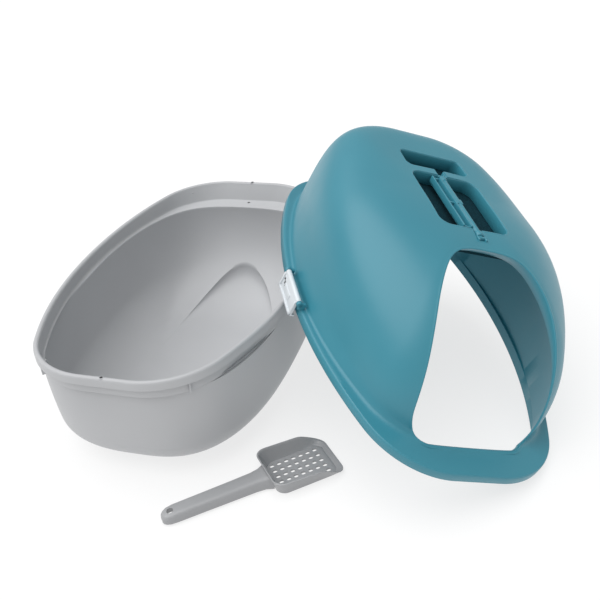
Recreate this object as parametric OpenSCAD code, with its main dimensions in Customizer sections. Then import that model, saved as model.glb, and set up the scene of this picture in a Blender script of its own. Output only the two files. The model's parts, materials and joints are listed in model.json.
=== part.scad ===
// Cat litter box with a lift-off hood, clips, folding handle, odour filter and scoop.
// Origin: centre of the pan's underside. +Z up, X along the pan, the doorway end is -X.
// The hood lies beside the pan, tipped on its rim; turning it about its swing axis closes it.

/* [Pan] */
// length of the rim over all
pan_len = 560; // [440:5:680]
// width of the rim over all
pan_wid = 356; // [280:2:430]
// height of the rim at the two ends
pan_h = 175; // [120:1:240]
// how much lower the rim is at mid-length
saddle = 4; // [0:0.5:12]
// half-length of the straight part of each end
end_flat = 34; // [5:1:80]
// corner radius of the rim
corner_r = 110; // [60:1:150]
// wall thickness of the mouldings
wall = 3.2; // [2:0.1:5]
// depth of the inside ledge below the rim
ledge_drop = 25; // [12:1:40]
// depth of the rim's hanging lip
lip_drop = 13; // [8:0.5:20]
// radius of the round basin in the floor
basin_r = 87; // [60:1:110]

/* [Hood] */
// how far the hood's belt stands outside the pan's rim
belt_out = 3; // [1:0.5:8]
// height of the belt
belt_h = 12; // [8:0.5:20]
// height of the dome above the belt
dome_h = 163; // [120:1:220]
// depth of the skirt that drops inside the rim
skirt_h = 5; // [3:0.5:12]
// angle the hood is turned out to its resting place
hood_turn = 43.6; // [30:0.1:60]
// half-width of the doorway at its widest
door_half = 94; // [70:1:110]

/* [Small parts] */
// length of a clip
clip_len = 60; // [40:1:80]
// height of a clip's plate
clip_h = 28; // [20:1:36]
// pin radius of the clips
clip_pin_r = 2; // [1.5:0.1:3]
// running gap round each pin
pin_gap = 0.08; // [0.02:0.01:0.09]
// pin radius of the carry handle
grip_pin_r = 3; // [2:0.1:4]
// length of the scoop
scoop_len = 240; // [180:1:300]
// width of the scoop's bowl
scoop_wid = 78; // [60:1:110]

/* [Hidden] */
half_l = pan_len / 2;
half_w = pan_wid / 2;
// the side arc that meets the corner arc smoothly and crosses the middle square on
side_r = (pow(half_l - corner_r, 2) + pow(end_flat - half_w, 2) - corner_r * corner_r)
    / (2 * (half_w - end_flat - corner_r));
split = atan2(end_flat - (half_w - side_r), half_l - corner_r);
n_corner = 8;
n_side = 9;
ledge_z = pan_h - ledge_drop;
swing_axis = [0.92, -0.217, 1];
swing_point = [414.5, -114, 0];
lift = 13.5;            // height of the closed hood above its seat
crown_x = 50;           // where the dome's radial lines meet
grip_z = belt_h + dome_h - 2;   // height of the handle's pins in the hood
grip_tilt = 4;          // the recess leans with the roof

// One quarter of the rim outline, grown outwards by off, from +X to +Y.
function quarter(off) = concat(
    [for (k = [0:1]) [half_l + off, end_flat * k / 2]],
    [for (k = [0:n_corner]) let (t = split * k / n_corner)
        [half_l - corner_r + (corner_r + off) * cos(t), end_flat + (corner_r + off) * sin(t)]],
    [for (k = [1:n_side]) let (t = split + (90 - split) * k / n_side)
        [(side_r + off) * cos(t), half_w - side_r + (side_r + off) * sin(t)]]);
// The whole outline, counter-clockwise seen from above.
function outline(off) = let (q = quarter(off), m = len(q) - 1) concat(
    q,
    [for (i = [m - 1:-1:0]) [-q[i].x, q[i].y]],
    [for (i = [1:m]) [-q[i].x, -q[i].y]],
    [for (i = [m - 1:-1:1]) [q[i].x, -q[i].y]]);
function stretched(o, near, far, side) = [for (p = o) [p.x * (p.x < 0 ? near : far), p.y * side]];
function at_z(o, z) = [for (p = o) [p.x, p.y, z]];
rim = outline(0);
n_ring = len(rim);
ang = [for (p = rim) atan2(p.y, p.x)];
function sag(x) = -saddle * (0.5 + 0.5 * cos(180 * x / half_l));
function step(x, lo, hi) = let (t = min(1, max(0, (x - lo) / (hi - lo)))) t * t * (3 - 2 * t);

// A closed shell through a stack of rings, capped by a fan at each end.
module shell(rings) {
    n = len(rings[0]);
    k_end = len(rings) - 1;
    function mid(r) = [for (c = [0:2]) (min([for (p = r) p[c]]) + max([for (p = r) p[c]])) / 2];
    pts = concat([for (r = rings) each r], [mid(rings[0]), mid(rings[k_end])]);
    a0 = len(pts) - 2;
    polyhedron(pts, concat(
        [for (i = [0:n - 1]) [a0, i, (i + 1) % n]],
        [for (k = [0:k_end - 1], i = [0:n - 1]) [k * n + i, (k + 1) * n + (i + 1) % n, k * n + (i + 1) % n]],
        [for (k = [0:k_end - 1], i = [0:n - 1]) [k * n + i, (k + 1) * n + i, (k + 1) * n + (i + 1) % n]],
        [for (i = [0:n - 1]) [k_end * n + i, a0 + 1, k_end * n + (i + 1) % n]]), convexity = 8);
}

// ---------- pan ----------
function cove(t, p) = pow(1 - pow(1 - t, 2), p);
tub_foot = 40;           // how far the walls round in to the floor
tub_foot_h = 57;         // and from what height
slope_x = 20;            // where the far slope leaves the floor
arch_long = 198;         // how far back the hollow goes that the basin cuts in the far slope
// Height of the far slope at x.
function slope_z(x) = let (q = max(0, (x - slope_x) / (half_l - 39 - slope_x)))
    wall + (ledge_z - wall) * (1 - sqrt(1 - pow(q, 2.5)));
// Inside radius from the basin's centre, in direction f, at height z.
function tub_r(f, z) = let (
    t = min(1, max(0, (z - wall) / (ledge_z - wall))),
    foot = tub_foot * pow(1 - min(1, (z - wall) / tub_foot_h), 2),
    side = half_w - 67 + 54 * cove(t, 0.2) - foot)
    cos(f) > 0 ? max(far_r(f, t, side), bowl_r(f, z))
        : max(oval(f, half_l - 50 + 34 * cove(t, 0.2) - foot, side, 3), basin_r);
function oval(f, a, b, n) = pow(pow(abs(cos(f)) / a, n) + pow(abs(sin(f)) / b, n), -1 / n);
// The far slope and the side walls, meeting in a rounded corner.
function far_r(f, t, side) = let (
    slope = (slope_x + (half_l - 39 - slope_x) * cove(t, 0.4)) / cos(f),
    walls = oval(f, half_l - 115 + 90 * cove(t, 0.9), side, 2.3))
    pow(pow(slope, -12) + pow(walls, -12), -1 / 12);
function bowl_r(f, z) = let (
    crease = oval(f, arch_long, basin_r, 2),
    up = min(1, (z - wall) / (slope_z(crease * cos(f)) - wall + 0.01)))
    basin_r + (crease - basin_r) * sqrt(up * (2 - up));
function tub_ring(z, grow, drop) = [for (f = ang) let (r = tub_r(f, z) + grow)
    [r * cos(f), r * sin(f), z - drop]];
function lip_depth(p) = let (
    seat = (1 - step(abs(p.x), 31, 36)) * step(abs(p.y), half_w - 12, half_w - 6))
    lip_drop * (1 - seat) + seat_depth * seat;
function rim_ring(off, dz) = let (o = outline(off)) [for (i = [0:n_ring - 1])
    [o[i].x, o[i].y, pan_h + dz + sag(rim[i].x)]];
function lip_ring(off) = let (o = outline(off)) [for (i = [0:n_ring - 1])
    [o[i].x, o[i].y, pan_h + sag(rim[i].x) - lip_depth(rim[i])]];
seat_depth = 7;          // depth of the lip where the clips hook under it
gusset_dir = 41;         // direction of the corner ribs from the corner arc's centre
gusset_t = 2.2;
peg_r = 1.6;
levels = [wall, wall + 2, 9, 17, 27, 38, 50, 62, 76, 93, 112, 131, ledge_z];

// Rib under the lip at a corner.
module gusset(x, y) {
    translate([x * (half_l - corner_r), y * end_flat, 0])
        rotate([0, 0, atan2(y * sin(gusset_dir), x * cos(gusset_dir))])
        translate([corner_r - 15, -gusset_t / 2, ledge_z - wall]) cube([14.6, gusset_t, ledge_drop - 4]);
}

module pan() {
    ledge = stretched(outline(-5), 0.985, 0.935, 0.994);
    ledge_o = [for (p = ledge) let (d = norm(p)) p * (d + wall) / d];
    color([0.83, 0.83, 0.82])
    difference() {
        union() {
            for (x = [-1, 1], y = [-1, 1]) gusset(x, y);
            shell(concat(
                [tub_ring(wall, wall - 3, wall)],
                [for (z = levels) tub_ring(z, wall, wall - (z == wall ? 2 : 0))],
                [at_z(ledge_o, ledge_z - wall)],
                [rim_ring(-6, -6), rim_ring(-2.6, -6), lip_ring(-2.6), lip_ring(0)],
                [rim_ring(0, -2.6), rim_ring(-0.9, -0.7), rim_ring(-2.9, 0), rim_ring(-5.5, 0), rim_ring(-7.6, -1.6)],
                [rim_ring(-9, -6), at_z(ledge, ledge_z + 2), at_z([for (p = ledge) p * 0.995], ledge_z)],
                [for (i = [len(levels) - 1:-1:0]) tub_ring(levels[i], 0, 0)]));
        }
        // peg hole down through the rim at each end, and one in the far ledge
        for (at = [[-half_l + 4.3, pan_h], [half_l - 4.3, pan_h], [half_l - 31, ledge_z]])
            translate([at.x, 0, at.y - 9]) cylinder(r = peg_r, h = 12, $fn = 24);
    }
}

// ---------- hood, in its own frame: z = 0 is the belt's lower edge ----------
module in_place() {
    translate(swing_point) rotate(a = hood_turn, v = swing_axis) translate(-swing_point)
        translate([0, 0, pan_h + lift]) children();
}
foot = stretched(outline(-3), 240 / 277, 255 / 277, 172 / 175);
foot_in = stretched(outline(-3 - wall), 240 / 277, 255 / 277, 172 / 175);
// Point of the dome over foot point b, at station t (0 foot, 90 crown), h high in the middle.
function dome_pt(b, t, h) = let (
    v = b - [crown_x, 0], c = v.x / norm(v), s = 1 - c * c,
    wf = c < 0 ? c * c : 0, wb = c > 0 ? c * c : 0,
    n = 2.4 * wf + 9 * wb + 3.1 * s, m = 1.7 * wf + 2.8 * wb + 6 * s,
    q = pow(max(0, cos(t)), 2 / n), x = v.x * q)
    [crown_x + x, v.y * q, belt_h + 2 + h * pow(sin(t), 2 / m) - 0.1 * x * (1 - q * q)];
function dome_ring(o, t, h) = [for (b = o) dome_pt(b, t, h)];
function blend(a, b, k, z) = [for (i = [0:len(a) - 1])
    [a[i].x + (b[i].x - a[i].x) * k, a[i].y + (b[i].y - a[i].y) * k, z]];
stations = [2.5, 5, 9, 14, 20, 27, 35, 44, 54, 64, 74, 83];
belt = outline(belt_out);

// Doorway: half-width against distance along the doorway's slope, from its sill up.
door = [[1, 60], [4, 70], [9, 78], [16, 84], [25, 89], [38, 93], [62, 94], [88, 93.5], [118, 92], [146, 89],
    [174, 84], [198, 76], [216, 67], [228, 58], [236, 48], [241, 36], [243.5, 20], [244, 0]];
sill = [-243, 13];
slope = 43.5;
module door_plug(grow, deep) {
    k = door_half / 94;
    poly = concat([for (p = door) [p.x + (p.x < 10 ? -grow : grow), p.y * k + grow]],
        [for (i = [len(door) - 2:-1:0]) [door[i].x + (door[i].x < 10 ? -grow : grow), -door[i].y * k - grow]]);
    translate([sill.x, 0, sill.y]) rotate([0, -slope, 0]) translate([0, 0, -deep])
        linear_extrude(height = 260, convexity = 4) polygon(poly);
}

module hood_shell() {
    skirt_o = outline(-10.2);
    skirt_i = outline(-12.8);
    shell(concat(
        [for (i = [len(stations) - 1:-1:0]) dome_ring(foot_in, stations[i], dome_h - wall)],
        [at_z(foot_in, belt_h + 1 - wall)],
        [at_z(skirt_i, belt_h - wall), at_z(skirt_i, -skirt_h), at_z(skirt_o, -skirt_h)],
        [at_z(skirt_o, belt_h - wall), at_z(outline(0.5), belt_h - wall), at_z(outline(0.5), 0)],
        [at_z(belt, 0), at_z(belt, belt_h - 1), at_z(outline(belt_out - 1), belt_h)],
        [blend(outline(belt_out - 1), foot, 0.72, belt_h + 0.8), blend(outline(belt_out - 1), foot, 0.92, belt_h + 2.2)],
        [for (t = stations) dome_ring(foot, t, dome_h)]));
}

// Frame of the openings in the roof: middle of the recess, at the height of the handle's pins.
grip_span = 134;
recess = [122, 106];
recess_x = 7;
vent = [38, 100];
vent_x = 102;
well_h = 14;
notch_x = 75;            // near end of the slot that the handle's pins sit in
notch_y = 7;
module in_roof() {
    translate([30, 0, grip_z]) rotate([0, grip_tilt, 0]) children();
}
// Plan of the two openings, grown by g, with the notches where the handle's ends snap in.
module openings(g) {
    offset(r = g) {
        translate([recess_x, 0]) rounded_rect(recess, 16);
        translate([vent_x, 0]) rounded_rect(vent, 9);
        translate([-notch_x, -notch_y]) square([notch_x + vent_x, 2 * notch_y]);
    }
}
module rounded_rect(size, r) {
    offset(r = r) square(size - [2 * r, 2 * r], center = true);
}
clip_y = half_w + belt_out;
clip_z = 19;
module clip_place(s) {
    translate([0, s * (clip_y + 3.6), clip_z]) children();
}

// The solid under the dome, shrunk inwards by in.
module under_dome(in) {
    o = stretched(outline(-3 - in), 240 / 277, 255 / 277, 172 / 175);
    shell(concat([at_z(o, belt_h + 1)], [for (t = stations) dome_ring(o, t, dome_h - in)]));
}
// Stiffening lip that turns inwards round the doorway.
module door_lip() {
    difference() {
        intersection() {
            door_plug(2.6, 40);
            under_dome(1);
        }
        door_plug(0, 60);
        under_dome(13);
    }
}

module hood() {
    color([0.27, 0.53, 0.62]) in_place() {
        difference() {
            union() {
                hood_shell();
                door_lip();
                intersection() {
                    under_dome(1);
                    in_roof() {
                        translate([0, 0, -well_h]) linear_extrude(height = 40) openings(2.6);
                        for (x = [-46, 94], y = [-1, 1]) translate([x, y * (pad.y / 2 + 1.6), 0]) pad_hook(y);
                    }
                }
                for (s = [-1, 1]) clip_mounts(s);
            }
            door_plug(0, 40);
            in_roof() translate([0, 0, -well_h - 1]) linear_extrude(height = 50) openings(0);
        }
        in_roof() {
            for (s = [-1, 1]) grip_post(s);
        }
    }
}
// Hook that holds the filter pad up against the openings' walls.
module pad_hook(s) {
    translate([-5, -1.2, -well_h - pad.z - 3]) cube([10, 2.4, pad.z + 50]);
    translate([-5, s > 0 ? -5 : 0, -well_h - pad.z - 3]) cube([10, 5, 2.6]);
}
// Post at each end of the recess, with the snap pin the handle turns on.
module grip_post(s) {
    translate([s * (grip_span / 2 + 4.5), 0, -7.5]) cube([9, 2 * notch_y + 2, 13], center = true);
    translate([s * (grip_span / 2 + 3), 0, 0]) rotate([0, -s * 90, 0]) cylinder(r = grip_pin_r, h = 9, $fn = 32);
    translate([s * (grip_span / 2 + 3), 0, -1]) cube([4, 9, 8], center = true);
}
module clip_mounts(s) {
    clip_place(s) for (e = [-1, 1]) translate([e * (clip_len / 2 + 3), 0, 0]) {
        rotate([0, 90, 0]) cylinder(r = 4.2, h = 5, center = true, $fn = 32);
        translate([-2.5, s > 0 ? -14 : 0, -8]) cube([5, 14, 10]);
        translate([-e * 5.5, 0, 0]) rotate([0, 90, 0]) cylinder(r = clip_pin_r, h = 8, center = true, $fn = 32);
    }
}

// ---------- clips ----------
module latch(s) {
    color([0.80, 0.83, 0.86]) in_place() clip_place(s) mirror([0, s > 0 ? 0 : 1, 0]) difference() {
        union() {
            rotate([0, 90, 0]) cylinder(r = 3.8, h = clip_len, center = true, $fn = 32);
            translate([-clip_len / 2, 0.6, -clip_h + 3]) cube([clip_len, 3.2, clip_h - 3]);
            translate([-clip_len / 2, -3.2, -clip_h + 3]) cube([clip_len, 5, 2.4]);
            for (x = [-1, 1]) translate([x * (clip_len / 2 - 2) - 2, 2, -clip_h + 3]) cube([4, 3.4, clip_h - 5]);
            translate([-clip_len / 2, 2, -clip_h + 3]) cube([clip_len, 3.4, 4]);
        }
        for (x = [-1, 1]) translate([x * (clip_len / 2 - 4.5), 0, 0]) rotate([0, 90, 0])
            cylinder(r = clip_pin_r + pin_gap, h = 11, center = true, $fn = 32);
    }
}
module latch_left() { latch(1); }
module latch_right() { latch(-1); }

// ---------- carry handle: a ribbed channel that turns on pins near its edge ----------
module carry_handle() {
    len = grip_span - 0.4;
    edge = 19;              // far edge of the bar, from the pins
    under = -5.2;           // underside of the channel
    bar = [-50, 64];        // ends of the channel, inside the recess
    bar_len = bar[1] - bar[0];
    ribs = 3;
    rib = 3;
    color([0.24, 0.50, 0.60]) in_place() in_roof() difference() {
        union() {
            rotate([0, 90, 0]) cylinder(r = 5.6, h = len, center = true, $fn = 40);
            translate([bar[0], 0, under]) cube([bar_len, edge, 2.6]);
            for (y = [4.8, edge - 2.2]) translate([bar[0], y, under]) cube([bar_len, 2.2, 9.6]);
            for (i = [0:ribs - 1]) translate([bar[0] + i * (bar_len - rib) / (ribs - 1), 1, under])
                cube([rib, edge - 1.5, 7.2]);
        }
        rotate([0, 90, 0]) cylinder(r = grip_pin_r + pin_gap, h = len + 4, center = true, $fn = 32);
    }
}

// ---------- odour filter under the openings in the roof ----------
pad = [206, 126, 6];
module filter_pad() {
    color([0.07, 0.26, 0.33]) in_place() in_roof() translate([24, 0, -well_h - pad.z - 0.1])
        linear_extrude(height = pad.z) rounded_rect([pad.x, pad.y], 10);
}

// ---------- scoop, flat on the ground beside the pan ----------
scoop_at = [-318, -93];
scoop_dir = -48.5;
module scoop() {
    hole_x = -12;           // hanging hole, in the rounded end of the handle
    half = 12;              // half-width of the handle
    bowl = 98;
    neck = scoop_len - bowl - 24;
    grip = neck + 6;
    color([0.62, 0.62, 0.63])
    translate([scoop_at.x, scoop_at.y, 0]) rotate([0, 0, scoop_dir]) difference() {
        union() {
            // handle: a channel open below, stiffened by a spine on top
            translate([hole_x, 0, 12]) cylinder(r = half, h = 4, $fn = 48);
            translate([hole_x, -half, 12]) cube([grip - hole_x, 2 * half, 4]);
            translate([10, -2.5, 12]) cube([neck - 20, 5, 6]);
            for (y = [-half, half - 2.5]) translate([6, y, 5]) cube([grip - 8, 2.5, 9]);
            translate([hole_x, 0, 5]) difference() {
                cylinder(r = half, h = 9, $fn = 48);
                translate([0, 0, -1]) cylinder(r = half - 2.5, h = 11, $fn = 48);
                translate([2, -half - 1, -1]) cube([20, 2 * half + 2, 11]);
            }
            scoop_bowl(neck, bowl, scoop_wid / 2);
        }
        translate([hole_x, 0, 0]) cylinder(r = 4.5, h = 40, $fn = 40);
        for (i = [0:6], j = [-2:2]) translate([neck + 14 + i * 10.4, j * 11 - 2.6, -1]) cube([6.2, 5.2, 12]);
    }
}
function arc(c, r, a) = [for (k = [0:6]) c + r * [cos(a + 15 * k), sin(a + 15 * k)]];
function round_plan(x0, x1, y, r) = concat(
    arc([x1 - r, y - r], r, 0), arc([x0 + r, y - r], r, 90),
    arc([x0 + r, r - y], r, 180), arc([x1 - r, r - y], r, 270));
// Open bowl with rounded corners, its walls falling towards the front edge.
module scoop_bowl(x0, bowl, half) {
    t = 2.4;
    difference() {
        intersection() {
            linear_extrude(height = 30) polygon(round_plan(x0, x0 + bowl, half, 15));
            translate([x0, half + 1, 0]) rotate([90, 0, 0]) linear_extrude(height = 2 * half + 2)
                polygon([[-1, 0], [bowl + 1, 0], [bowl + 1, 4], [bowl - 30, 19], [-1, 23]]);
        }
        translate([0, 0, t]) linear_extrude(height = 30) polygon(round_plan(x0 + t, x0 + bowl - t, half - t, 15 - t));
    }
}

pan();
hood();
latch_left();
latch_right();
carry_handle();
filter_pad();
scoop();
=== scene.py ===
import json
import math
import bpy
import bmesh
import numpy as np
from mathutils import Matrix, Vector


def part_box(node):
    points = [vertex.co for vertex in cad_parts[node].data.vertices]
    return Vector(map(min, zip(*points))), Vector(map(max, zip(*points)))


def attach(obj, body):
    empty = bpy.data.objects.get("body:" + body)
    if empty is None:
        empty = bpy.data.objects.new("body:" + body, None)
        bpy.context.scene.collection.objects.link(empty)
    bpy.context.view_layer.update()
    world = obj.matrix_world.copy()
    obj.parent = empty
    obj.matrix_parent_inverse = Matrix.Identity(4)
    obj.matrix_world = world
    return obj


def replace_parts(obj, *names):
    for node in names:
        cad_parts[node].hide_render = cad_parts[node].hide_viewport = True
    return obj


# A cat litter box: deep pan, domed hood tipped against it, clips, carry handle, filter and scoop.
# Lengths in the shape code are millimetres; MM turns them into the frame's metres.
MM = 0.001
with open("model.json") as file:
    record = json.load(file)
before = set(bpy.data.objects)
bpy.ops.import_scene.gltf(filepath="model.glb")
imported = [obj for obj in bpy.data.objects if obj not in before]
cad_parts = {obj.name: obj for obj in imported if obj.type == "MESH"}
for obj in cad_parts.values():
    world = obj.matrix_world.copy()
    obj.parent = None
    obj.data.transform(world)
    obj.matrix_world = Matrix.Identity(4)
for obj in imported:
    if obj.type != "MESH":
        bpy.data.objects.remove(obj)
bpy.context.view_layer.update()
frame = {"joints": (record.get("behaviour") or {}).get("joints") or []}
joints = {j["name"]: j for j in frame["joints"]}

# ---------------------------------------------------------------- driving sizes
pan_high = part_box("pan")[1]
HALF_L = pan_high.x / MM
HALF_W = pan_high.y / MM
PAN_H = pan_high.z / MM
SADDLE = 4.0            # how much lower the rim is at mid-length
END_FLAT = 34.0         # half-length of the straight part of each end
CORNER_R = 110.0        # corner radius of the rim
WALL = 3.2
LEDGE_Z = PAN_H - 25.0  # step between the tub and the band under the rim
GUSSET_T = 2.2
GUSSET_TURN = 0.72      # direction of the corner gussets from the pan's length, in radians
LIP = 13.0              # depth of the rim's hanging lip
SEAT = 7.0              # its depth at the clips' seats
BASIN_R = 87.0          # round basin in the middle of the floor
TUB_FOOT = 40.0         # how far the walls round in to the floor
TUB_FOOT_H = 57.0       # and from what height
SLOPE_X = 20.0          # where the far slope leaves the floor
SLOPE_RUN = HALF_L - 39 - SLOPE_X   # how far it runs from there to the ledge
ARCH_LONG = 198.0       # how far back the hollow goes that the basin cuts in the far slope
BELT_OUT = 3.0          # how far the hood's belt stands outside the pan's rim
BELT_H = 12.0
DOME_H = 163.0
SKIRT_H = 5.0
SKIRT_IN = 10.2         # how far the skirt's outside stands in from the pan's rim
SKIRT_T = 2.6           # its thickness
CROWN_X = 50.0          # where the dome's radial lines meet
LIFT = 13.5             # how far the hood stands off the pan's rim at its joint's limit
SILL = (-243.0, 13.0)   # x and z of the doorway's lower edge, in the hood's frame
SLOPE = math.radians(43.5)  # of the doorway's plane
ROOF_AT = Vector((30.0, 0.0, BELT_H + DOME_H - 2))
ROOF_TILT = math.radians(4.0)
WELL_H = 14.0           # depth of the walls round the roof's openings
RECESS = (122.0, 106.0)
RECESS_X = 7.0
VENT = (38.0, 100.0)
VENT_X = 102.0
NOTCH_X = 75.0          # far end and half-width of the slot for the handle's pins
NOTCH_Y = 7.0
CLIP_Y = HALF_W + BELT_OUT + 3.6
CLIP_Z = 19.0
CLIP_HALF = 30.0        # half the plate's length
CLIP_DROP = 25.0        # from the pins down to the hook
CLIP_BOSS = CLIP_HALF + 3


def mm_matrix(m):
    """The same placement for points in millimetres."""
    out = m.copy()
    out.translation = m.translation / MM
    return out


swing = joints["hood_close"]
swing_at = Matrix.Translation(Vector(swing["pos_m"]))
swing_turn = Matrix.Rotation(-math.radians(swing["range_deg"][1]), 4, Vector(swing["axis"]))
hood_over_pan = Matrix.Translation((0, 0, (PAN_H + LIFT) * MM))
HOOD = mm_matrix(swing_at @ swing_turn @ swing_at.inverted() @ hood_over_pan)
ROOF = HOOD @ Matrix.Translation(ROOF_AT) @ Matrix.Rotation(ROOF_TILT, 4, "Y")
WORLD = Matrix.Identity(4)


# ---------------------------------------------------------------- materials
def plastic(name, colour, dark, rough, grain=0.12, coat=0.0):
    """Moulded plastic: slow tone drift, a fine spark-eroded grain and uneven gloss."""
    mat = bpy.data.materials.new(name)
    mat.use_nodes = True
    tree = mat.node_tree
    link = tree.links.new
    shader = tree.nodes["Principled BSDF"]
    coords = tree.nodes.new("ShaderNodeTexCoord")

    drift = tree.nodes.new("ShaderNodeTexNoise")
    drift.inputs["Scale"].default_value = 7.0
    drift.inputs["Detail"].default_value = 3.0
    link(coords.outputs["Object"], drift.inputs["Vector"])
    tone = tree.nodes.new("ShaderNodeValToRGB")
    tone.color_ramp.elements[0].position = 0.3
    tone.color_ramp.elements[0].color = (*dark, 1)
    tone.color_ramp.elements[1].position = 0.72
    tone.color_ramp.elements[1].color = (*colour, 1)
    link(drift.outputs["Fac"], tone.inputs["Fac"])
    link(tone.outputs["Color"], shader.inputs["Base Color"])

    fine = tree.nodes.new("ShaderNodeTexNoise")
    fine.inputs["Scale"].default_value = 1400.0
    fine.inputs["Detail"].default_value = 2.0
    link(coords.outputs["Object"], fine.inputs["Vector"])
    flow = tree.nodes.new("ShaderNodeTexNoise")
    flow.inputs["Scale"].default_value = 28.0
    flow.inputs["Detail"].default_value = 4.0
    link(coords.outputs["Object"], flow.inputs["Vector"])
    gloss = tree.nodes.new("ShaderNodeMapRange")
    gloss.inputs["To Min"].default_value = rough - 0.05
    gloss.inputs["To Max"].default_value = rough + 0.07
    link(flow.outputs["Fac"], gloss.inputs["Value"])
    link(gloss.outputs["Result"], shader.inputs["Roughness"])

    grain_bump = tree.nodes.new("ShaderNodeBump")
    grain_bump.inputs["Strength"].default_value = grain
    grain_bump.inputs["Distance"].default_value = 0.00025
    link(fine.outputs["Fac"], grain_bump.inputs["Height"])
    flow_bump = tree.nodes.new("ShaderNodeBump")
    flow_bump.inputs["Strength"].default_value = 0.12
    flow_bump.inputs["Distance"].default_value = 0.0012
    link(flow.outputs["Fac"], flow_bump.inputs["Height"])
    link(grain_bump.outputs["Normal"], flow_bump.inputs["Normal"])
    link(flow_bump.outputs["Normal"], shader.inputs["Normal"])
    shader.inputs["Specular IOR Level"].default_value = 0.5
    shader.inputs["Coat Weight"].default_value = coat
    shader.inputs["Coat Roughness"].default_value = 0.25
    return mat


def felt(name, colour, dark):
    """Carbon felt: matted fibres with a rough pile."""
    mat = bpy.data.materials.new(name)
    mat.use_nodes = True
    tree = mat.node_tree
    link = tree.links.new
    shader = tree.nodes["Principled BSDF"]
    coords = tree.nodes.new("ShaderNodeTexCoord")
    fibre = tree.nodes.new("ShaderNodeTexNoise")
    fibre.inputs["Scale"].default_value = 420.0
    fibre.inputs["Detail"].default_value = 6.0
    fibre.inputs["Distortion"].default_value = 1.5
    link(coords.outputs["Object"], fibre.inputs["Vector"])
    tone = tree.nodes.new("ShaderNodeValToRGB")
    tone.color_ramp.elements[0].position = 0.35
    tone.color_ramp.elements[0].color = (*dark, 1)
    tone.color_ramp.elements[1].position = 0.7
    tone.color_ramp.elements[1].color = (*colour, 1)
    link(fibre.outputs["Fac"], tone.inputs["Fac"])
    link(tone.outputs["Color"], shader.inputs["Base Color"])
    bump = tree.nodes.new("ShaderNodeBump")
    bump.inputs["Strength"].default_value = 0.7
    bump.inputs["Distance"].default_value = 0.001
    link(fibre.outputs["Fac"], bump.inputs["Height"])
    link(bump.outputs["Normal"], shader.inputs["Normal"])
    shader.inputs["Roughness"].default_value = 0.95
    shader.inputs["Specular IOR Level"].default_value = 0.15
    return mat


PAN_MAT = plastic("pan_plastic", (0.445, 0.452, 0.465), (0.42, 0.427, 0.44), 0.42)
HOOD_MAT = plastic("hood_plastic", (0.040, 0.230, 0.300), (0.036, 0.215, 0.285), 0.38, coat=0.06)
CLIP_MAT = plastic("clip_plastic", (0.66, 0.70, 0.73), (0.62, 0.66, 0.69), 0.30, coat=0.2)
SCOOP_MAT = plastic("scoop_plastic", (0.335, 0.34, 0.35), (0.305, 0.31, 0.32), 0.38)
# the felt's colour is partly its own dark carbon colour and partly painted shade: the teal tint copies
# the shaded teal inside of the hood under the roof openings
FILTER_SHADE_MAT = felt("filter_felt", (0.006, 0.045, 0.062), (0.002, 0.018, 0.026))
MARK_MAT = plastic("clip_mark", (0.05, 0.05, 0.055), (0.03, 0.03, 0.035), 0.5)
# painted shade: a near-black colour for the socket floors, standing for the shade down in the holes
HOLE_SHADE_MAT = plastic("hole_shade", (0.03, 0.03, 0.032), (0.02, 0.02, 0.022), 0.8)


# ---------------------------------------------------------------- mesh helpers
def make(name, verts, faces, place, body, mat, sharp=38.0):
    """A mesh piece from millimetre points in its own frame, placed and riding on a body."""
    mesh = bpy.data.meshes.new(name)
    mesh.from_pydata([tuple(place @ Vector(v) * MM) for v in verts], [], faces)
    bm = bmesh.new()
    bm.from_mesh(mesh)
    bmesh.ops.remove_doubles(bm, verts=bm.verts, dist=2e-6)
    bmesh.ops.recalc_face_normals(bm, faces=bm.faces)
    bm.to_mesh(mesh)
    bm.free()
    return finish_piece(name, mesh, body, mat, sharp)


def finish_piece(name, mesh, body, mat, sharp):
    """Wraps a mesh in a shaded object that rides on its body."""
    mesh.shade_smooth()
    mesh.set_sharp_from_angle(angle=math.radians(sharp))
    obj = bpy.data.objects.new(name, mesh)
    bpy.context.scene.collection.objects.link(obj)
    mesh.materials.append(mat)
    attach(obj, body)
    return obj


def grid_faces(k, n, closed_u=False):
    """Quads between k rows of n points; rows are closed loops."""
    rows = k if closed_u else k - 1
    return [(r * n + i, ((r + 1) % k) * n + i, ((r + 1) % k) * n + (i + 1) % n, r * n + (i + 1) % n)
            for r in range(rows) for i in range(n)]


def capped(rings):
    """Points and faces of a closed skin through rings, with a fan at both ends."""
    k, n = len(rings), len(rings[0])
    verts = np.concatenate([np.asarray(r, float) for r in rings])
    faces = grid_faces(k, n)
    ends = []
    for ring in (rings[0], rings[-1]):
        ring = np.asarray(ring, float)
        ends.append((ring.min(0) + ring.max(0)) / 2)
    verts = np.concatenate([verts, ends])
    first, last = k * n, k * n + 1
    faces += [(first, i, (i + 1) % n) for i in range(n)]
    faces += [(last, (k - 1) * n + (i + 1) % n, (k - 1) * n + i) for i in range(n)]
    return verts, faces


def apply_modifiers(obj):
    """Bakes an object's modifiers into its mesh."""
    bpy.context.view_layer.update()
    graph = bpy.context.evaluated_depsgraph_get()
    mesh = bpy.data.meshes.new_from_object(obj.evaluated_get(graph))
    obj.modifiers.clear()
    obj.data = mesh


def rounded_solid(name, verts, faces, place, body, mat, radius, segments=3):
    """A solid with its sharp edges rounded by radius millimetres."""
    obj = make(name, verts, faces, place, body, mat, 180.0)
    bevel = obj.modifiers.new("round", "BEVEL")
    bevel.width = radius * MM
    bevel.segments = segments
    bevel.limit_method = "ANGLE"
    bevel.angle_limit = math.radians(30)
    bevel.use_clamp_overlap = True
    bevel.harden_normals = False
    apply_modifiers(obj)
    obj.data.set_sharp_from_angle(angle=math.radians(40))
    return obj


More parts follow.
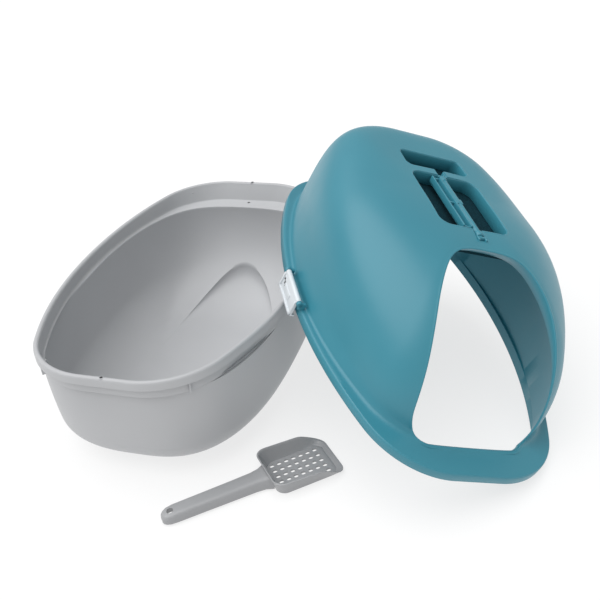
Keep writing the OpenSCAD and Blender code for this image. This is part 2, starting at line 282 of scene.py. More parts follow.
def box_points(low, high):
    """Corners and faces of a box between two opposite corners."""
    verts = [(x, y, z) for x in (low[0], high[0]) for y in (low[1], high[1]) for z in (low[2], high[2])]
    faces = [(0, 1, 3, 2), (4, 6, 7, 5), (0, 4, 5, 1), (2, 3, 7, 6), (0, 2, 6, 4), (1, 5, 7, 3)]
    return verts, faces


def block(name, low, high, place, body, slot, mat, radius=0.8):
    """A box with rounded edges."""
    verts, faces = box_points(low, high)
    return rounded_solid(name, verts, faces, place, body, mat, radius)


def rod(name, a, b, radius, place, body, slot, mat, hole=0.0, edge=0.5, n=40):
    """A round bar or bush from a to b with rounded rims, bored through if hole is set."""
    a, b = Vector(a), Vector(b)
    axis = (b - a).normalized()
    side = axis.orthogonal().normalized()
    other = axis.cross(side)
    length = (b - a).length
    profile = [(radius - edge, 0), (radius - edge * 0.3, edge * 0.3), (radius, edge),
               (radius, length - edge), (radius - edge * 0.3, length - edge * 0.3),
               (radius - edge, length)]
    if hole:
        profile += [(hole, length), (hole, 0)]
    rings = []
    for r, h in profile:
        rings.append([tuple(a + axis * h + (side * math.cos(t) + other * math.sin(t)) * r)
                      for t in np.linspace(0, 2 * math.pi, n, endpoint=False)])
    if hole:
        verts = np.concatenate([np.asarray(r, float) for r in rings])
        faces = grid_faces(len(rings), n, closed_u=True)
    else:
        verts, faces = capped(rings)
    return make(name, verts, faces, place, body, mat, 40.0)


def prism(outline, low, high):
    """A closed prism over a plan outline."""
    n = len(outline)
    verts = [(x, y, low) for x, y in outline] + [(x, y, high) for x, y in outline]
    faces = [tuple(range(n))[::-1], tuple(range(n, 2 * n))]
    faces += [(i, (i + 1) % n, n + (i + 1) % n, n + i) for i in range(n)]
    return verts, faces


def cut(obj, cutters):
    """Subtracts closed meshes given as (points, faces, placement) and deletes the cutters."""
    made = []
    for verts, faces, place in cutters:
        mesh = bpy.data.meshes.new("cutter")
        mesh.from_pydata([tuple(place @ Vector(v) * MM) for v in verts], [], faces)
        tool = bpy.data.objects.new("cutter", mesh)
        bpy.context.scene.collection.objects.link(tool)
        mod = obj.modifiers.new("cut", "BOOLEAN")
        mod.operation = "DIFFERENCE"
        mod.solver = "EXACT"
        mod.object = tool
        made.append(tool)
    apply_modifiers(obj)
    for tool in made:
        bpy.data.objects.remove(tool)


def join(objs, name):
    """Joins pieces of one body and material into one object."""
    keep = objs[0]
    bm = bmesh.new()
    for o in objs:
        bm.from_mesh(o.data)
    bm.to_mesh(keep.data)
    bm.free()
    for o in objs[1:]:
        bpy.data.objects.remove(o)
    keep.name = name
    return keep


def arc(cx, cy, r, a0, a1, n):
    """Points on an arc, with its angles in degrees."""
    return [(cx + r * math.cos(math.radians(t)), cy + r * math.sin(math.radians(t)))
            for t in np.linspace(a0, a1, n)]


def round_rect(w, h, r, cx=0.0, cy=0.0, n=10):
    """A rounded rectangle, counter-clockwise."""
    out = []
    for sx, sy, a in ((1, 1, 0), (-1, 1, 90), (-1, -1, 180), (1, -1, 270)):
        out += arc(cx + sx * (w / 2 - r), cy + sy * (h / 2 - r), r, a, a + 90, n)
    return out


# ---------------------------------------------------------------- shared rim outline
SIDE_R = ((HALF_L - CORNER_R) ** 2 + (END_FLAT - HALF_W) ** 2 - CORNER_R ** 2) / (
    2 * (HALF_W - END_FLAT - CORNER_R))
SPLIT = math.atan2(END_FLAT - (HALF_W - SIDE_R), HALF_L - CORNER_R)


def outline(off, flat=6, corner=26, side=32):
    """The rim's outline grown by off: a straight end, a corner arc and a long side arc, mirrored."""
    q = [(HALF_L + off, END_FLAT * k / flat) for k in range(flat)]
    q += [(HALF_L - CORNER_R + (CORNER_R + off) * math.cos(t), END_FLAT + (CORNER_R + off) * math.sin(t))
          for t in np.linspace(0, SPLIT, corner, endpoint=False)]
    q += [((SIDE_R + off) * math.cos(t), HALF_W - SIDE_R + (SIDE_R + off) * math.sin(t))
          for t in np.linspace(SPLIT, math.pi / 2, side + 1)]
    q = np.array(q)
    back = q[-2::-1] * (-1, 1)
    under = q[1:] * (-1, -1)
    front = q[-2:0:-1] * (1, -1)
    return np.concatenate([q, back, under, front])


RIM = outline(0)
SAG = -SADDLE * (0.5 + 0.5 * np.cos(math.pi * RIM[:, 0] / HALF_L))


def ring(plan, z):
    """A plan outline lifted to a height, or to one height per point."""
    return np.column_stack([plan, np.broadcast_to(z, len(plan))])


def step(x, lo, hi):
    """Smooth rise from 0 at lo to 1 at hi."""
    t = np.clip((x - lo) / (hi - lo), 0, 1)
    return t * t * (3 - 2 * t)


# ---------------------------------------------------------------- pan
FACING = np.arctan2(RIM[:, 1], RIM[:, 0])


def cove(t, p):
    """A rounding that starts steep at t = 0 and ends level at t = 1."""
    return (1 - (1 - t) ** 2) ** p


def oval(a, b, n):
    """Radius of a superellipse in the direction of each ring point."""
    return ((np.abs(np.cos(FACING)) / a) ** n + (np.abs(np.sin(FACING)) / b) ** n) ** (-1 / n)


def sweep_radius(z):
    """Radius of the walls and the far slope from the pan's centre at height z, per ring point."""
    t = np.clip((z - WALL) / (LEDGE_Z - WALL), 0, 1)
    foot = TUB_FOOT * (1 - np.minimum(1, (z - WALL) / TUB_FOOT_H)) ** 2
    side = HALF_W - 67 + 54 * cove(t, 0.2) - foot
    near = oval(HALF_L - 50 + 34 * cove(t, 0.2) - foot, side, 3)
    slope = (SLOPE_X + SLOPE_RUN * cove(t, 0.4)) / np.maximum(np.cos(FACING), 1e-3)
    walls = oval(HALF_L - 115 + 90 * cove(t, 0.9), side, 2.3)
    return np.where(np.cos(FACING) > 0, (slope ** -12.0 + walls ** -12.0) ** (-1 / 12), near)


def bowl_radius(z):
    """Radius of the round basin and the arched hollow it cuts in the far slope."""
    ahead = np.cos(FACING) > 0
    crease = np.where(ahead, oval(ARCH_LONG, BASIN_R, 2), BASIN_R)
    q = np.maximum(0, (crease * np.cos(FACING) - SLOPE_X) / SLOPE_RUN)
    top = (LEDGE_Z - WALL) * (1 - np.sqrt(1 - q ** 2.5))
    up = np.clip((z - WALL) / (top + 0.01), 0, 1)
    return BASIN_R + (crease - BASIN_R) * np.sqrt(up * (2 - up))


def crease_height():
    """Height where the hollow's wall meets the slope above it, for each direction."""
    low, high = np.full(len(FACING), WALL), np.full(len(FACING), LEDGE_Z)
    for _ in range(40):
        mid = (low + high) / 2
        inside = bowl_radius(mid) > sweep_radius(mid)
        low, high = np.where(inside, mid, low), np.where(inside, high, mid)
    return np.maximum((low + high) / 2, WALL + 7)


def tub_radius(z):
    return np.maximum(sweep_radius(z), bowl_radius(z))


def tub_ring(z, grow=0.0, drop=0.0):
    r = tub_radius(z) + grow
    return np.column_stack([r * np.cos(FACING), r * np.sin(FACING), np.broadcast_to(z - drop, len(r))])


def rim_ring(off, dz):
    """A ring that follows the rim's sag."""
    return ring(outline(off), PAN_H + dz + SAG)


def lip_ring(off, extra=0.0):
    """The lip's lower edge, cut back at the clips' seats."""
    seat = (1 - step(np.abs(RIM[:, 0]), 31, 36)) * step(np.abs(RIM[:, 1]), HALF_W - 12, HALF_W - 6)
    return ring(outline(off), PAN_H + SAG - (LIP * (1 - seat) + SEAT * seat) + extra)


def ledge_ring(z, grow=0.0):
    """The ledge's outer edge, drawn in most at the far end."""
    plan = outline(-5) * np.where(RIM[:, :1] < 0, (0.985, 0.994), (0.935, 0.994))
    size = np.linalg.norm(plan, axis=1, keepdims=True)
    return ring(plan * (1 + grow / size), z)


def build_pan():
    """A closed skin from under the floor over the rim to the floor, with gussets and sockets."""
    crease = crease_height()
    levels = [WALL + (crease - WALL) * k ** 2.2 for k in np.linspace(0, 1, 26)]
    levels += [crease + (LEDGE_Z - crease) * k for k in np.linspace(0, 1, 36)[1:]]
    outside = [tub_ring(levels[0], WALL - 6, WALL), tub_ring(levels[0], WALL - 2.2, WALL - 0.5)]
    outside += [tub_ring(levels[0], WALL, WALL - 1.4)] + [tub_ring(z, WALL, WALL) for z in levels[1:]]
    outside += [ledge_ring(LEDGE_Z - WALL, WALL - 1.5), ledge_ring(LEDGE_Z - WALL + 0.5, WALL - 0.4),
                ledge_ring(LEDGE_Z - WALL + 2, WALL)]
    rim = [rim_ring(-6, -6), rim_ring(-2.6, -6), lip_ring(-2.6), lip_ring(-2.1, -0.5),
           lip_ring(-0.6, -0.5), lip_ring(0)]
    bead = [(0, -4), (-0.3, -2.4), (-1.1, -1.0), (-2.4, -0.2), (-3.8, 0), (-5.2, -0.25), (-6.4, -1.0),
            (-7.2, -2.3), (-7.7, -4.0)]
    rim += [rim_ring(o, z) for o, z in bead]
    ledge = [ledge_ring(LEDGE_Z + 5), ledge_ring(LEDGE_Z + 2, -0.4), ledge_ring(LEDGE_Z + 0.6, -1.6),
             ledge_ring(LEDGE_Z, -3.2)]
    edge = [tub_ring(levels[-1], 1.6), tub_ring(levels[-1], 0.5, 0.35), tub_ring(levels[-1], 0.0, 1.4)]
    inside = [tub_ring(z) for z in levels[-2::-1]]
    verts, faces = capped(outside + rim + ledge + edge + inside)
    shell = make("pan_shell", verts, faces, WORLD, "pan", PAN_MAT, 50.0)
    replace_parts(shell, "pan")

    # thin gussets under the lip at the four corners
    parts = [shell]
    for sx in (-1, 1):
        for sy in (-1, 1):
            place = Matrix.Translation((sx * (HALF_L - CORNER_R), sy * END_FLAT, 0)) @ Matrix.Rotation(
                math.atan2(sy * math.sin(GUSSET_TURN), sx * math.cos(GUSSET_TURN)), 4, "Z")
            parts.append(block("gusset", (CORNER_R - 12, -GUSSET_T / 2, LEDGE_Z - WALL),
                               (CORNER_R - 1.2, GUSSET_T / 2, PAN_H - 8),
                               place, "pan", "pan_plastic", PAN_MAT, 0.5))
    join(parts, "pan_shell")

    # peg sockets in the middle of each end and of the far ledge: a raised ring round a shallow floor
    # coloured dark as painted shade for the depth of the hole
    spots = [(s * (HALF_L - 3.8), PAN_H - 0.2) for s in (-1, 1)] + [(HALF_L - 31, LEDGE_Z)]
    for i, (x, z) in enumerate(spots):
        rod(f"socket_ring_{i}", (x, 0, z - 1), (x, 0, z + 0.5), 3.3, WORLD,
            "pan", "pan_plastic", PAN_MAT, hole=2.2, edge=0.5)
        rod(f"socket_floor_{i}", (x, 0, z - 1), (x, 0, z + 0.25), 2.25, WORLD,
            "pan", "pan_plastic", HOLE_SHADE_MAT, edge=0.1)


# ---------------------------------------------------------------- hood surface
FOOT_SCALE = (240 / 277, 255 / 277, 172 / 175)  # dome's foot to rim: doorway end, far end, sides


def foot_plan(inset=0.0):
    """Where the dome meets the belt."""
    plan = outline(-3 - inset)
    near, far, side = FOOT_SCALE
    return plan * np.where(plan[:, :1] < 0, (near, side), (far, side))


def dome_shape(vx, vy):
    """Exponents of the dome's section in the direction from the crown to a foot point."""
    c = vx / np.hypot(vx, vy)
    s = 1 - c * c
    front = np.where(c < 0, c * c, 0)
    rear = np.where(c > 0, c * c, 0)
    return 2.4 * front + 9 * rear + 3.1 * s, 1.7 * front + 2.8 * rear + 6 * s


def dome_ring(plan, t, height):
    """The dome at t degrees of its rise, from 0 at the foot to 90 at the crown."""
    v = plan - (CROWN_X, 0)
    n, m = dome_shape(v[:, 0], v[:, 1])
    q = max(0.0, math.cos(math.radians(t))) ** (2 / n)
    x = v[:, 0] * q
    z = BELT_H + 2 + height * math.sin(math.radians(t)) ** (2 / m) - 0.1 * x * (1 - q * q)
    return np.column_stack([CROWN_X + x, v[:, 1] * q, z])


FOOT = foot_plan() - (CROWN_X, 0)
FOOT_ANGLE = np.arctan2(FOOT[:, 1], FOOT[:, 0])
FOOT_ORDER = np.argsort(FOOT_ANGLE)


def dome_z(x, y):
    """Height of the hood's outer surface over a point of its plan."""
    dx, dy = np.asarray(x, float) - CROWN_X, np.asarray(y, float)
    reach = np.interp(np.arctan2(dy, dx), FOOT_ANGLE[FOOT_ORDER],
                      np.hypot(FOOT[:, 0], FOOT[:, 1])[FOOT_ORDER], period=2 * math.pi)
    r = np.hypot(dx, dy)
    q = np.minimum(r / reach, 1)
    n, m = dome_shape(np.where(r < 1e-6, 1e-6, dx), dy)
    return BELT_H + 2 + DOME_H * np.maximum(0, 1 - q ** n) ** (1 / m) - 0.1 * dx * (1 - q * q)


def on_surface(plan, place):
    """Where lines along a cutting frame's own Z, through plan points, meet the hood's surface."""
    base = np.array([(place @ Vector((x, y, 0))) for x, y in plan])
    up = np.array(place.to_3x3() @ Vector((0, 0, 1)))
    lo, hi = np.full(len(plan), -90.0), np.full(len(plan), 160.0)
    for _ in range(40):
        mid = (lo + hi) / 2
        p = base + mid[:, None] * up
        below = p[:, 2] < dome_z(p[:, 0], p[:, 1])
        lo, hi = np.where(below, mid, lo), np.where(below, hi, mid)
    return (lo + hi) / 2


def grown(plan, off):
    """A closed outline moved outwards by off along its own normals."""
    p = np.asarray(plan, float)
    t = np.roll(p, -1, 0) - np.roll(p, 1, 0)
    t /= np.maximum(np.linalg.norm(t, axis=1, keepdims=True), 1e-9)
    return p + off * np.column_stack([t[:, 1], -t[:, 0]])


def resample(plan, spacing):
    """Even points along a closed outline."""
    p = np.asarray(plan, float)
    loop = np.vstack([p, p[:1]])
    run = np.concatenate([[0], np.cumsum(np.linalg.norm(np.diff(loop, axis=0), axis=1))])
    n = int(run[-1] / spacing)
    at = np.linspace(0, run[-1], n, endpoint=False)
    return np.column_stack([np.interp(at, run, loop[:, k]) for k in (0, 1)])


def lipped_edge(name, plan, place, bottom, mat, thick=2.6):
    """A rolled edge on the hood's skin with a wall that goes in from it. place is in the hood's frame.
    bottom(plan, height) gives the wall's lower end along the cutting direction."""
    rows = []
    for w, dz in ((0, -1.5), (0.25, -0.65), (0.9, 0.02), (1.9, 0.16), (3.4, 0.03), (4.2, -0.5)):
        q = grown(plan, w)
        rows.append(np.column_stack([q, on_surface(q, place) + dz]))
    edge = on_surface(np.asarray(plan), place)
    low = bottom(np.asarray(plan), edge)
    back = grown(plan, thick)
    rows.append(np.column_stack([back, np.minimum(on_surface(back, place) - 2.5, edge - 1.5)]))
    rows.append(np.column_stack([back, low + 0.5]))
    rows.append(np.column_stack([grown(plan, thick - 0.5), low]))
    rows.append(np.column_stack([grown(plan, 0.5), low]))
    rows.append(np.column_stack([plan, low + 0.5]))
    verts = np.concatenate(rows)
    faces = grid_faces(len(rows), len(plan), closed_u=True)
    return make(name, verts, faces, HOOD @ place, "hood", mat, 60.0)


# doorway in its own plane: distance up from the sill and half-width there
DOOR = [(1, 60), (4, 70), (9, 78), (16, 84), (25, 89), (38, 93), (62, 94), (88, 93.5), (118, 92),
        (146, 89), (174, 84), (198, 76), (216, 67), (228, 58), (236, 48), (241, 36), (243.5, 20),
        (244, 0)]
DOOR_FRAME = Matrix.Translation((SILL[0], 0, SILL[1])) @ Matrix.Rotation(-SLOPE, 4, "Y")
ROOF_IN_HOOD = Matrix.Translation(ROOF_AT) @ Matrix.Rotation(ROOF_TILT, 4, "Y")


def smooth_loop(points, rounds=2):
    """Rounds a closed outline by corner cutting."""
    p = np.asarray(points, float)
    for _ in range(rounds):
        nxt = np.roll(p, -1, 0)
        p = np.stack([0.75 * p + 0.25 * nxt, 0.25 * p + 0.75 * nxt], 1).reshape(-1, 2)
    return p


def door_plan():
    """The doorway's outline, counter-clockwise."""
    half = DOOR[:-1]
    loop = half + [DOOR[-1]] + [(s, -y) for s, y in reversed(half)]
    return resample(smooth_loop(loop[::-1]), 3.0)


def roof_plan():
    """Recess and vent joined by the slot that the handle's pins sit in, counter-clockwise."""
    x0, x1 = RECESS_X - RECESS[0] / 2, RECESS_X + RECESS[0] / 2
    v0, v1 = VENT_X - VENT[0] / 2, VENT_X + VENT[0] / 2
    rec, ven, r, q = RECESS[1] / 2, VENT[1] / 2, 16, 9
    loop = [(-NOTCH_X, -NOTCH_Y), (x0, -NOTCH_Y)]
    loop += arc(x0 + r, -rec + r, r, 180, 270, 10) + arc(x1 - r, -rec + r, r, 270, 360, 10)
    loop += [(x1, -NOTCH_Y), (v0, -NOTCH_Y)]
    loop += arc(v0 + q, -ven + q, q, 180, 270, 8) + arc(v1 - q, -ven + q, q, 270, 360, 8)
    loop += arc(v1 - q, ven - q, q, 0, 90, 8) + arc(v0 + q, ven - q, q, 90, 180, 8)
    loop += [(v0, NOTCH_Y), (x1, NOTCH_Y)]
    loop += arc(x1 - r, rec - r, r, 0, 90, 10) + arc(x0 + r, rec - r, r, 90, 180, 10)
    loop += [(x0, NOTCH_Y), (-NOTCH_X, NOTCH_Y)]
    return resample(np.array(loop), 1.6)


def build_hood():
    """Shell, doorway edge and the walls round the openings in the roof."""
    stations = np.concatenate([[2.5, 4, 6], np.linspace(8.5, 88, 40)])
    skirt_o, skirt_i = outline(-SKIRT_IN), outline(-SKIRT_IN - SKIRT_T)
    foot, foot_in = foot_plan(), foot_plan(WALL)
    top = outline(BELT_OUT - 1.2)

    def between(k, z):
        return ring(top + (foot - top) * k, z)

    rings = [dome_ring(foot_in, t, DOME_H - WALL) for t in stations[::-1]]
    rings += [ring(foot_in, BELT_H + 1 - WALL), ring(skirt_i, BELT_H - WALL),
              ring(skirt_i, -SKIRT_H + 0.5),
              ring(outline(-SKIRT_IN - SKIRT_T + 0.5), -SKIRT_H),
              ring(outline(-SKIRT_IN - 0.5), -SKIRT_H), ring(skirt_o, -SKIRT_H + 0.5)]
    rings += [ring(skirt_o, BELT_H - WALL), ring(outline(0.5), BELT_H - WALL), ring(outline(0.5), 0.4),
              ring(outline(0.9), 0), ring(outline(BELT_OUT - 0.5), 0), ring(outline(BELT_OUT), 0.6)]
    rings += [ring(outline(BELT_OUT), BELT_H - 2.2), ring(outline(BELT_OUT - 0.35), BELT_H - 0.8),
              ring(top, BELT_H)]
    rings += [between(0.4, BELT_H + 0.3), between(0.62, BELT_H + 0.6), between(0.76, BELT_H + 1.1),
              between(0.87, BELT_H + 2.2), between(0.95, BELT_H + 4.2)]
    rings += [dome_ring(foot, t, DOME_H) for t in stations]
    verts, faces = capped(rings)
    shell = make("hood_shell", verts, faces, HOOD, "hood", HOOD_MAT, 50.0)

    door, roof = door_plan(), roof_plan()
    door_cut = prism(grown(door, 0.7).tolist(), -40, 240)
    roof_cut = prism(grown(roof, 0.7).tolist(), -30, 40)
    cut(shell, [(*door_cut, HOOD @ DOOR_FRAME), (*roof_cut, ROOF)])
    shell.data.shade_smooth()
    shell.data.set_sharp_from_angle(angle=math.radians(40))
    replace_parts(shell, "hood")

    lipped_edge("door_lip", door, DOOR_FRAME,
                lambda p, e: e - (3.4 + 16 * step(p[:, 0], 60, 215)), HOOD_MAT)
    lipped_edge("roof_wells", roof, ROOF_IN_HOOD, lambda p, e: np.full(len(p), -WELL_H), HOOD_MAT)


# ---------------------------------------------------------------- clips
def clip_frame(s):
    """The clip's own frame: X along its pins, Y outwards, Z up the hood."""
    return HOOD @ Matrix.Translation((0, s * CLIP_Y, CLIP_Z)) @ Matrix.Diagonal((1, s, 1, 1))


def build_clip(s, name):
    """A plate with a raised frame that turns on its barrel, and a hook along its foot."""
    place = clip_frame(s)
    half, drop = CLIP_HALF, CLIP_DROP
    add = dict(place=place, body=name, slot="clip_plastic", mat=CLIP_MAT)
    parts = [rod("barrel", (-half, 0, 0), (half, 0, 0), 3.8, hole=2.3, edge=0.6, **add)]
    parts.append(block("plate", (-half, 0.6, -drop), (half, 3.8, 0), radius=0.8, **add))
    parts.append(block("hook", (-half, -3.2, -drop), (half, 1.8, -drop + 2.4), radius=0.7, **add))
    for e in (-1, 1):
        x = e * (half - 2)
        parts.append(block("frame_end", (x - 2, 2.5, -drop), (x + 2, 5.4, -1), radius=0.9, **add))
    parts.append(block("frame_foot", (-half, 2.5, -drop), (half, 5.4, -drop + 4), radius=0.9, **add))
    parts.append(block("thumb_pad", (-9, 3.2, -17), (15, 4.6, -8), radius=0.6, **add))
    whole = join(parts, name + "_shell")
    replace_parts(whole, name)
    # three small dark pads, a little proud of the plate
    marks = [((21, -9), (24.5, -5.5)), ((17.5, -12.5), (20.5, -8)), ((14, -15), (16.5, -12))]
    for i, (lo, hi) in enumerate(marks):
        block(f"{name}_mark_{i}", (lo[0], 3.5, lo[1]), (hi[0], 4.05, hi[1]), place, name, "clip_plastic",
              MARK_MAT, radius=0.25)


def build_clip_mounts(s):
    """Two bosses on the hood's belt that hold a clip's pins."""
    place = clip_frame(s)
    for e in (-1, 1):
        x = e * CLIP_BOSS
        add = dict(place=place, body="hood", slot="hood_plastic", mat=HOOD_MAT)
        parts = [rod("boss", (x - 2.5, 0, 0), (x + 2.5, 0, 0), 4.2, edge=0.8, **add),
                 rod("pin", (x - 6 * e, 0, 0), (x - 2 * e, 0, 0), 2.0, edge=0.3, **add),
                 block("arm", (x - 2.5, -9, -8), (x + 2.5, 0.4, 2), radius=0.8, **add)]
        join(parts, f"clip_boss_{'left' if s > 0 else 'right'}_{'near' if e < 0 else 'far'}")


# ---------------------------------------------------------------- carry handle and its posts
HANDLE_HALF = 66.8      # half the barrel's length, over its end knuckles
GRIP = (-50.0, 64.0)    # the channel's ends
GRIP_REACH = 19.0       # from the pins to the channel's free edge
POST_IN, POST_OUT = 67.0, 76.0
HORN_X = 70.0


def build_handle():
    """The folding bar with its two posts, which belong to the hood."""
    half = HANDLE_HALF
    lo, hi = GRIP
    mid = (lo + hi) / 2
    add = dict(place=ROOF, body="carry_handle", slot="hood_plastic", mat=HOOD_MAT)
    parts = [rod("barrel", (-half + 8, 0, 0), (half - 8, 0, 0), 4.7, hole=3.3, edge=0.6, **add)]
    for e in (-1, 1):
        parts.append(rod("knuckle", (e * (half - 9), 0, 0), (e * half, 0, 0), 5.6,
                         hole=3.1, edge=1.0, **add))
    parts.append(block("floor", (lo, 0, -5.2), (hi, GRIP_REACH, -2.6), radius=0.7, **add))
    parts.append(block("inner_wall", (lo, 4.8, -5.2), (hi, 7.0, 4.4), radius=0.9, **add))
    parts.append(block("outer_wall", (lo, GRIP_REACH - 2.2, -5.2), (hi, GRIP_REACH, 4.4),
                       radius=0.9, **add))
    for x in (lo, mid - 1.5, hi - 3):
        parts.append(block("rib", (x, 1, -5.2), (x + 3, 18.5, 2.0), radius=0.6, **add))
    parts.append(block("stop", (mid - 5, -4.4, -1.5), (mid + 5, 5.2, 5.0), radius=0.9, **add))
    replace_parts(join(parts, "carry_handle_shell"), "carry_handle")

    for e in (-1, 1):
        x0, x1 = sorted((e * POST_IN, e * POST_OUT))
        add = dict(place=ROOF, body="hood", slot="hood_plastic", mat=HOOD_MAT)
        parts = [block("post", (x0, -NOTCH_Y - 1, -14), (x1, NOTCH_Y + 1, -1), radius=0.8, **add),
                 block("horn", (e * HORN_X - 2, -4.5, -5), (e * HORN_X + 2, 4.5, 3), radius=0.8, **add),
                 rod("snap_pin", (e * HORN_X, 0, 0), (e * (HORN_X - 9), 0, 0), 3.0, edge=0.4, **add)]
        # two cheeks make the open V that the knuckle is pressed into
        for side in (-1, 1):
            y = side * 5.6
            parts.append(block("cheek", (x0, y - 1.4, -2), (x1, y + 1.4, 3.2), radius=1.0, **add))
        join(parts, f"handle_post_{'near' if e < 0 else 'far'}")


# ---------------------------------------------------------------- odour filter
FILTER = (206.0, 126.0, 6.0)
FILTER_X = 24.0


def build_filter():
    """A felt pad with a slight unevenness in its surfaces and soft edges."""
    w, d, h = FILTER
    top = -WELL_H - 0.2
    plan = resample(np.array(round_rect(w, d, 10)), 4.0)

    def row(inset, z):
        q = plan * (1 - 2 * inset / np.array([w, d]))
        wave = 0.25 * np.sin(q[:, 0] / 9) * np.cos(q[:, 1] / 11)
        height = np.full(len(q), z) - 0.3 + wave * min(1, inset / 6)
        return np.column_stack([q[:, 0] + FILTER_X, q[:, 1], height])

    rings = [row(k, top - h + 0.6) for k in (58, 40, 20, 8, 2)]
    rings += [row(0.5, top - h + 1.2), row(0, top - h / 2)]
    rings += [row(0.5, top - 0.6)] + [row(k, top) for k in (2, 8, 20, 40, 58)]
    verts, faces = capped(rings)
    pad = make("filter_felt", verts, faces, ROOF, "hood", FILTER_SHADE_MAT, 60.0)
    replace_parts(pad, "filter_pad")


# ---------------------------------------------------------------- scoop
SCOOP = Matrix.Translation((-318, -93, 0)) @ Matrix.Rotation(math.radians(-48.5), 4, "Z")
SCOOP_HALF = 39.0
BOWL_AT, BOWL_LEN = 118.0, 98.0


def bowl_plan():
    corner = 15.0
    plan = round_rect(BOWL_LEN, 2 * SCOOP_HALF, corner, BOWL_AT + BOWL_LEN / 2, 0.0, 9)
    return resample(np.array(plan), 2.2)


def bowl_top(x):
    """Height of the bowl's edge: high at the handle, falling to the front."""
    k = (x - BOWL_AT) / BOWL_LEN
    return 23 - 5 * k - 14 * step(k, 0.62, 1.0)


HANG_X, HANG_R = -12.0, 4.5     # hanging hole: place along the handle and radius
# the handle's half-width and height at places along it
GRIP_STATIONS = [(-24, 3, 9), (-23, 6.5, 11), (-20, 9.2, 13), (-15, 11.2, 14.6), (-6, 12, 15.6),
                 (30, 12.3, 16), (70, 12.8, 16.4), (100, 13.2, 17), (112, 14.5, 18), (122, 19, 19.5)]


def build_scoop():
    """Bowl with perforations and a channel-section handle."""
    outer = bowl_plan()
    count = len(outer)

    def ring_at(inset, height):
        p = np.asarray(outer)
        centre = np.array([BOWL_AT + BOWL_LEN / 2, 0])
        half = np.array([BOWL_LEN / 2, SCOOP_HALF])
        q = centre + (p - centre) * (1 - inset / half)
        z = height * bowl_top(p[:, 0]) if height > 0.2 else np.full(count, height * 12)
        return np.column_stack([q, z])

    rings = [ring_at(14, 0.0), ring_at(9, 0.0), ring_at(6.5, 0.05), ring_at(5.2, 0.15)]
    rings += [ring_at(5.0 - 5.0 * k, 0.22 + 0.72 * k) for k in (0.1, 0.4, 0.7, 1.0)]
    rings += [ring_at(-0.2, 0.98), ring_at(0.4, 1.0), ring_at(1.6, 1.0), ring_at(2.4, 0.96)]
    rings += [ring_at(2.4 + 5.0 * k, 0.92 - 0.62 * k) for k in (0.1, 0.4, 0.7, 1.0)]
    flat = [ring_at(9.5, 0.2), ring_at(12, 0.2), ring_at(16, 0.2)]
    verts, faces = capped(rings + flat)
    bowl = make("scoop_bowl", verts, faces, SCOOP, "scoop", SCOOP_MAT, 45.0)
    slots = []
    for i in range(7):
        for j in range(-2, 3):
            x, y = BOWL_AT + 17.1 + i * 10.4, j * 11.0
            slots.append((*prism(round_rect(6.2, 5.2, 2.0, x, y, 4), -3, 9), SCOOP))
    cut(bowl, slots)
    bowl.data.shade_smooth()
    bowl.data.set_sharp_from_angle(angle=math.radians(40))

    # handle: a tapering channel with a flat top and sloping sides, round at the end
    rows = []
    for x, half, top in GRIP_STATIONS:
        roof_half = half * 0.62
        side = [(half, 2.5), (half, 6), (half * 0.93, top - 3.4), (half * 0.8, top - 1.2),
                (roof_half, top - 0.2), (roof_half * 0.5, top)]
        section = [(-y, z) for y, z in side] + [(0, top + 0.15)] + side[::-1]
        inner = [(y * 0.82, max(2.5, z - 2.2)) for y, z in reversed(section)]
        rows.append([(x, y, z) for y, z in section + inner])
    n = len(rows[0])
    verts = np.concatenate([np.asarray(r, float) for r in rows])
    faces = grid_faces(len(rows), n)
    for r in (0, len(rows) - 1):
        k = len(rows[0]) // 2
        faces += [(r * n + i, r * n + i + 1, r * n + n - 2 - i, r * n + n - 1 - i) for i in range(k - 1)]
    handle = make("scoop_grip", verts, faces, SCOOP, "scoop", SCOOP_MAT, 45.0)
    turns = np.linspace(0, 2 * math.pi, 32, endpoint=False)
    hole = [(HANG_X + HANG_R * math.cos(t), HANG_R * math.sin(t)) for t in turns]
    cut(handle, [(*prism(hole, -1, 30), SCOOP)])
    handle.data.shade_smooth()
    handle.data.set_sharp_from_angle(angle=math.radians(42))
    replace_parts(join([bowl, handle], "scoop_shell"), "scoop")


# ---------------------------------------------------------------- camera and light
camera_pose = dict(at=(-1.0263, -0.5538, 0.8192), yaw=20.69, pitch=-32.23, roll=-6.61, lens=54.0)


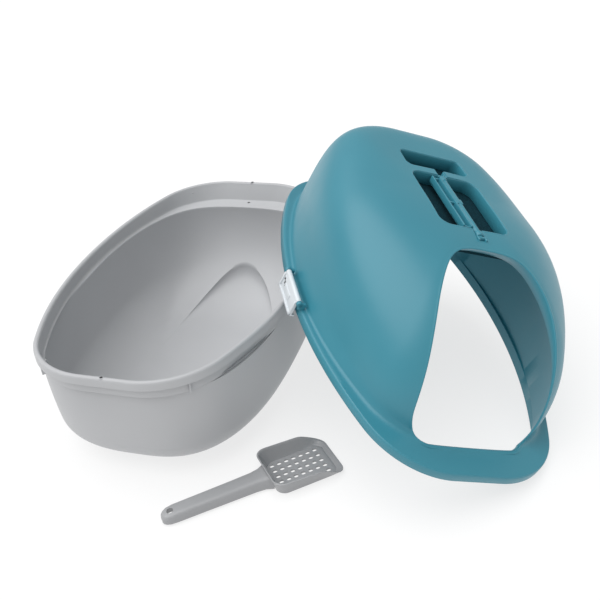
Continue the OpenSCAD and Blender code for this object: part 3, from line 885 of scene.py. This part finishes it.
def make_camera():
    """Camera from its place and its yaw, pitch and roll."""
    yaw, pitch, roll = (math.radians(camera_pose[k]) for k in ("yaw", "pitch", "roll"))
    ahead = Vector((math.cos(yaw) * math.cos(pitch), math.sin(yaw) * math.cos(pitch), math.sin(pitch)))
    right = ahead.cross(Vector((0, 0, 1))).normalized()
    up = right.cross(ahead)
    right_r = right * math.cos(roll) + up * math.sin(roll)
    up_r = up * math.cos(roll) - right * math.sin(roll)
    turn = Matrix((right_r, up_r, -ahead)).transposed()
    cam = bpy.data.cameras.new("camera")
    cam.lens = camera_pose["lens"]
    cam.sensor_width = 36.0
    obj = bpy.data.objects.new("camera", cam)
    obj.matrix_world = Matrix.Translation(camera_pose["at"]) @ turn.to_4x4()
    bpy.context.scene.collection.objects.link(obj)
    bpy.context.scene.camera = obj


FLOOR_HALF = 12.0       # metres
FLOOR_Z = -0.0004


def studio():
    """White surroundings, one broad overhead lamp and a pale floor."""
    world = bpy.data.worlds.new("studio")
    world.use_nodes = True
    sky = world.node_tree.nodes["Background"]
    sky.inputs["Color"].default_value = (1, 1, 1, 1)
    sky.inputs["Strength"].default_value = 0.5
    bpy.context.scene.world = world
    sun = bpy.data.lights.new("overhead", "SUN")
    sun.energy = 2.7
    sun.angle = math.radians(80)
    lamp = bpy.data.objects.new("overhead", sun)
    lamp.matrix_world = Vector((-0.2, 0.3, 1)).to_track_quat("Z", "Y").to_matrix().to_4x4()
    bpy.context.scene.collection.objects.link(lamp)
    bpy.context.scene.view_settings.view_transform = "Standard"

    # floor: matt, and lit from within so that it stays as pale as the background
    floor = bpy.data.meshes.new("floor")
    s, z = FLOOR_HALF, FLOOR_Z
    floor.from_pydata([(-s, -s, z), (s, -s, z), (s, s, z), (-s, s, z)], [], [(0, 1, 2, 3)])
    obj = bpy.data.objects.new("floor", floor)
    bpy.context.scene.collection.objects.link(obj)
    mat = bpy.data.materials.new("floor")
    mat.use_nodes = True
    shader = mat.node_tree.nodes["Principled BSDF"]
    shader.inputs["Base Color"].default_value = (0.25, 0.25, 0.25, 1)
    shader.inputs["Emission Color"].default_value = (1, 1, 1, 1)
    shader.inputs["Emission Strength"].default_value = 0.72
    shader.inputs["Specular IOR Level"].default_value = 0.0
    shader.inputs["Roughness"].default_value = 0.9
    floor.materials.append(mat)


make_camera()
studio()
build_pan()
build_hood()
for side, clip in ((1, "latch_left"), (-1, "latch_right")):
    build_clip(side, clip)
    build_clip_mounts(side)
build_handle()
build_filter()
build_scoop()
